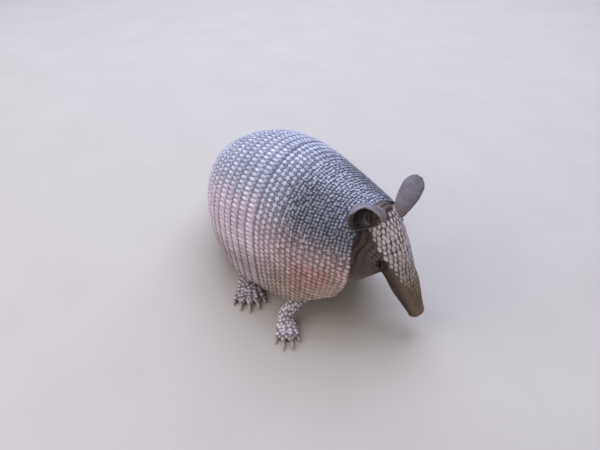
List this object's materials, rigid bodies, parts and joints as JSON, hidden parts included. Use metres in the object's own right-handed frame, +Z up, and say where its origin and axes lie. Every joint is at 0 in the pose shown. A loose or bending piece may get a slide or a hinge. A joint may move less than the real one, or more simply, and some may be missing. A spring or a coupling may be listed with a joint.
{
  "type": "armadillo",
  "caption": "Young nine-banded armadillo, life size, standing low with its body bent to its left, head hanging and ears up, the tail laid behind it on the floor.",
  "frame": {"origin": "centre of the footprint's bounding box, on the floor", "axes": "+Z up from the floor; +Y from the head end towards the rump end, the model's longest side; +X to the right of somebody who looks along +Y. The nose points towards +X and -Y, down to the floor"},
  "size_m": [0.175, 0.332, 0.1231],
  "materials": {
    "shell": "satin horn-covered bone",
    "band": "satin horn-covered bone",
    "skin": "matt wrinkled skin with scattered scutes",
    "face": "satin horn scutes",
    "ear": "matt pebbled skin",
    "eye": "glossy dark",
    "claw": "satin horn",
    "tail": "satin horn rings"
  },
  "bodies": {
    "root": {"scapular_shield": "shell", "band_1": "band", "band_2": "band", "band_3": "band", "band_4": "band", "band_5": "band", "band_6": "band", "band_7": "band", "band_8": "band", "band_9": "band", "pelvic_shield": "shell", "trunk": "skin", "neck": "skin", "head": "skin", "face_shield": "face", "eye_right": "eye", "eye_left": "eye", "ear_right": "ear", "ear_left": "ear", "foreleg_right": "skin", "forefoot_right": "skin", "forefoot_right_claw_1": "claw", "forefoot_right_claw_2": "claw", "forefoot_right_claw_3": "claw", "forefoot_right_claw_4": "claw", "foreleg_left": "skin", "forefoot_left": "skin", "forefoot_left_claw_1": "claw", "forefoot_left_claw_2": "claw", "forefoot_left_claw_3": "claw", "forefoot_left_claw_4": "claw", "hindleg_right": "skin", "hindfoot_right": "skin", "hindfoot_right_claw_1": "claw", "hindfoot_right_claw_2": "claw", "hindfoot_right_claw_3": "claw", "hindfoot_right_claw_4": "claw", "hindfoot_right_claw_5": "claw", "hindleg_left": "skin", "hindfoot_left": "skin", "hindfoot_left_claw_1": "claw", "hindfoot_left_claw_2": "claw", "hindfoot_left_claw_3": "claw", "hindfoot_left_claw_4": "claw", "hindfoot_left_claw_5": "claw", "tail_base": "tail", "tail_middle": "tail", "tail_end": "tail", "tail_tip": "tail"}
  },
  "joints": []
}
